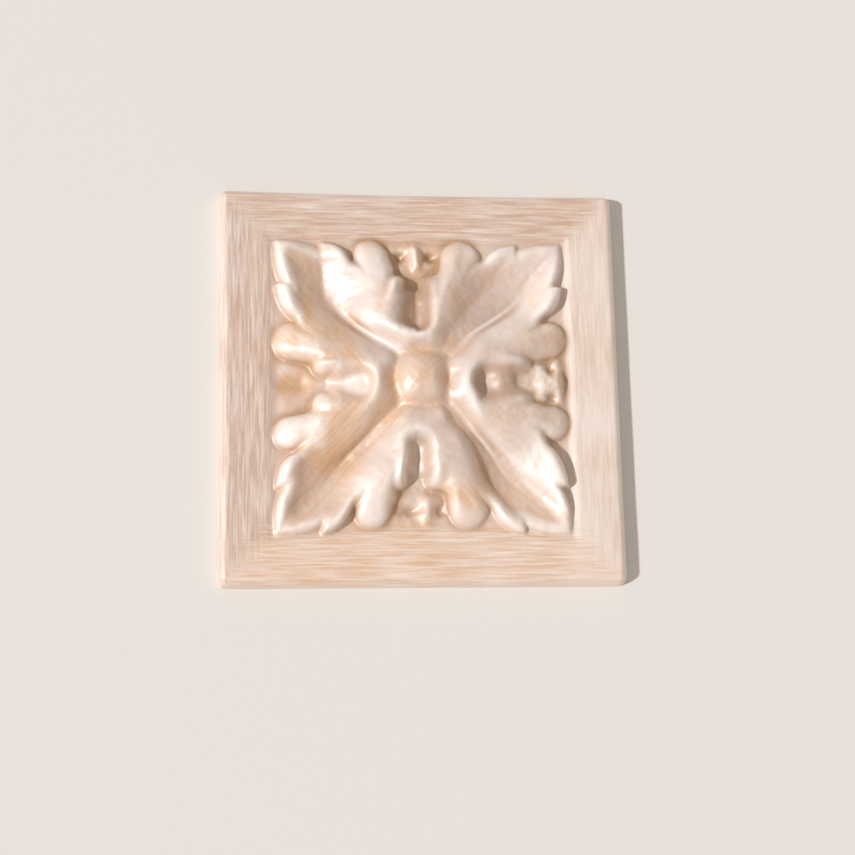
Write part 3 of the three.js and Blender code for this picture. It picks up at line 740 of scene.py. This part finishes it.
def streak_noise(place, sizes):
    """Noise drawn out into strokes, given their size along each axis in the units of the place."""
    scale = [1 / size for size in sizes]
    stretched = node("ShaderNodeMapping", {"Vector": place, "Scale": scale}).outputs["Vector"]
    settings = {"Vector": stretched, "Scale": 1.0, "Detail": 4.0, "Roughness": 0.6, "Distortion": 0.25}
    return node("ShaderNodeTexNoise", settings).outputs["Fac"]


stroke_length, stroke_width = STREAK_LENGTH * MM, STREAK_SPACING * MM
level_streaks = streak_noise(object_place, (stroke_length, stroke_width, stroke_width))
upright_streaks = streak_noise(object_place, (stroke_width, stroke_length, stroke_width))
leaf_streaks = streak_noise(leaf_stroke_place, (STREAK_SPACING, STREAK_LENGTH, 1))
border_streaks = node(
    "ShaderNodeMix", {0: upright_share, 2: level_streaks, 3: upright_streaks}
).outputs[0]
streaks = node("ShaderNodeMix", {0: on_border_share, 2: leaf_streaks, 3: border_streaks}).outputs[0]
speck_scale = 1 / (SPECK_SIZE * MM)
specks = node(
    "ShaderNodeTexNoise", {"Vector": object_place, "Scale": speck_scale, "Detail": 2.0}
).outputs["Fac"]

streak_share = node(
    "ShaderNodeMapRange", {"Value": streaks, "From Min": 0.38, "From Max": 0.72, "To Max": 0.75}
).outputs["Result"]
tan_streaks = node(
    "ShaderNodeMapRange",
    {"Value": streaks, "From Min": 0.38, "From Max": 0.62, "To Min": 1.0, "To Max": 0.6},
).outputs["Result"]
tan_amount = node("ShaderNodeMath", {0: tan_streaks, 1: tan_share}, operation="MULTIPLY").outputs[0]
beige = node(
    "ShaderNodeMix", {0: pale_share, 6: linear(BASE_BEIGE), 7: linear(PALE_CREAM)}, data_type="RGBA"
).outputs[2]
beige_and_tan = node(
    "ShaderNodeMix", {0: tan_amount, 6: beige, 7: linear(TAN_WASH)}, data_type="RGBA"
).outputs[2]
streak_amount = node("ShaderNodeMath", {0: streak_share, 1: brush_share}, operation="MULTIPLY").outputs[0]
streaked = node(
    "ShaderNodeMix", {0: streak_amount, 6: beige_and_tan, 7: linear(STREAK_CREAM)}, data_type="RGBA"
).outputs[2]
# White flecks of mica, painted as glints.
fleck_glint_share = node(
    "ShaderNodeMapRange", {"Value": specks, "From Min": 0.55, "From Max": 0.75, "To Max": 0.3}
).outputs["Result"]
flecked_with_glints = node(
    "ShaderNodeMix", {0: fleck_glint_share, 6: streaked, 7: linear(FLECK_GLINT_WHITE)}, data_type="RGBA"
).outputs[2]
# Brown over the colour in hollows and pockets: partly the wash, partly painted shade.
shaded_and_stained = node(
    "ShaderNodeMix", {0: shade_and_stain_share, 6: flecked_with_glints, 7: linear(SHADE_AND_STAIN_BROWN)}, data_type="RGBA"
).outputs[2]
speck_share = node(
    "ShaderNodeMapRange", {"Value": specks, "From Min": 0.45, "From Max": 0.65, "To Max": 0.35}
).outputs["Result"]
speck_amount = node("ShaderNodeMath", {0: speck_share, 1: unbrushed_share}, operation="MULTIPLY").outputs[0]
finished = node(
    "ShaderNodeMix", {0: speck_amount, 6: shaded_and_stained, 7: linear(SPECK_TAN)}, data_type="RGBA"
).outputs[2]

streak_bump = node(
    "ShaderNodeBump", {"Height": streaks, "Strength": brush_share, "Distance": STREAK_BUMP * MM}
).outputs[0]
speck_bump = node(
    "ShaderNodeBump",
    {"Height": specks, "Strength": 0.5, "Distance": SPECK_BUMP * MM, "Normal": streak_bump},
).outputs[0]
shader = node(
    "ShaderNodeBsdfPrincipled",
    {
        "Base Color": finished, "Roughness": 0.45, "IOR": 1.5,
        "Coat Weight": 1.0, "Coat Roughness": 0.45, "Coat IOR": 1.7,
        "Normal": speck_bump,
    },
)
node("ShaderNodeOutputMaterial", {"Surface": shader.outputs[0]})
mesh.materials.append(paint)
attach(rosette, "root")
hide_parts("rosette_tile")

# Floor: a plain pale board under the tile, a hair below its back so that the two faces don't fight.
# Its matt paint gives an even ground with no sheen.
FLOOR_WHITE = "#dedbd6"
FLOOR_HALF = 4000 * MM
FLOOR_GAP = 0.01 * MM
floor_mesh = bpy.data.meshes.new("pale_floor")
floor_corners = [(-1, -1), (1, -1), (1, 1), (-1, 1)]
floor_mesh.from_pydata([(x * FLOOR_HALF, y * FLOOR_HALF, 0) for x, y in floor_corners], [], [(0, 1, 2, 3)])
floor = bpy.data.objects.new("pale_floor", floor_mesh)
floor.location.z = -FLOOR_GAP
bpy.context.collection.objects.link(floor)
floor_paint = bpy.data.materials.new("matt_pale_board")
floor_paint.use_nodes = True
floor_shader = floor_paint.node_tree.nodes["Principled BSDF"]
floor_shader.inputs["Base Color"].default_value = linear(FLOOR_WHITE)
floor_shader.inputs["Roughness"].default_value = 0.8
floor_mesh.materials.append(floor_paint)

# Light: one soft-edged lamp far away on the left, as in the photograph. An even, warm and pale
# surround fills the shade.
KEY_TURN = 10
KEY_ELEVATION = 42
KEY_SPREAD = 3
KEY_STRENGTH = 2.8
KEY_WHITE = "#fcfcff"
SURROUND_STRENGTH = 0.65
SURROUND_WHITE = "#e9dfd6"
key = bpy.data.lights.new("key_lamp", "SUN")
key.energy = KEY_STRENGTH
key.angle = math.radians(KEY_SPREAD)
key.color = linear(KEY_WHITE)[:3]
key_object = bpy.data.objects.new("key_lamp", key)
turn, elevation = math.radians(KEY_TURN), math.radians(KEY_ELEVATION)
flat = math.cos(elevation)
key_direction = Vector((-math.cos(turn) * flat, -math.sin(turn) * flat, math.sin(elevation)))
key_object.rotation_euler = key_direction.to_track_quat("Z", "Y").to_euler()
bpy.context.collection.objects.link(key_object)
world = bpy.data.worlds.new("pale_surround")
world.use_nodes = True
world.node_tree.nodes["Background"].inputs["Color"].default_value = linear(SURROUND_WHITE)
world.node_tree.nodes["Background"].inputs["Strength"].default_value = SURROUND_STRENGTH
bpy.context.scene.world = world
bpy.context.scene.view_settings.view_transform = "Standard"

# Camera: nearly overhead, from the lower left, at the photograph's angle. It was fitted to the four
# corners of the tile in a square picture of 855 pixels.
CAMERA_AZIMUTH = -26.98
CAMERA_ELEVATION = 75.76
CAMERA_ROLL = 26.47
CAMERA_DISTANCE = 4.335 * SIDE
CAMERA_OFFSET = (-0.0201 * SIDE, 0.1004 * SIDE)
FOCAL_PIXELS = 1750
PICTURE_PIXELS = 855
camera_data = bpy.data.cameras.new("camera")
camera_data.sensor_width = 36
camera_data.lens = FOCAL_PIXELS / PICTURE_PIXELS * camera_data.sensor_width
azimuth, lift, roll = (math.radians(a) for a in (CAMERA_AZIMUTH, CAMERA_ELEVATION, CAMERA_ROLL))
back = Vector((math.sin(azimuth) * math.cos(lift), -math.cos(azimuth) * math.cos(lift), math.sin(lift)))
level_right = Vector((0, 0, 1)).cross(back).normalized()
level_up = back.cross(level_right)
right = math.cos(roll) * level_right + math.sin(roll) * level_up
up = -math.sin(roll) * level_right + math.cos(roll) * level_up
camera_place = (CAMERA_DISTANCE * back - CAMERA_OFFSET[0] * right - CAMERA_OFFSET[1] * up) * MM
turned = Matrix((right, up, back)).transposed().to_4x4()
camera = bpy.data.objects.new("camera", camera_data)
camera.matrix_world = Matrix.Translation(camera_place) @ turned
bpy.context.collection.objects.link(camera)
bpy.context.scene.camera = camera
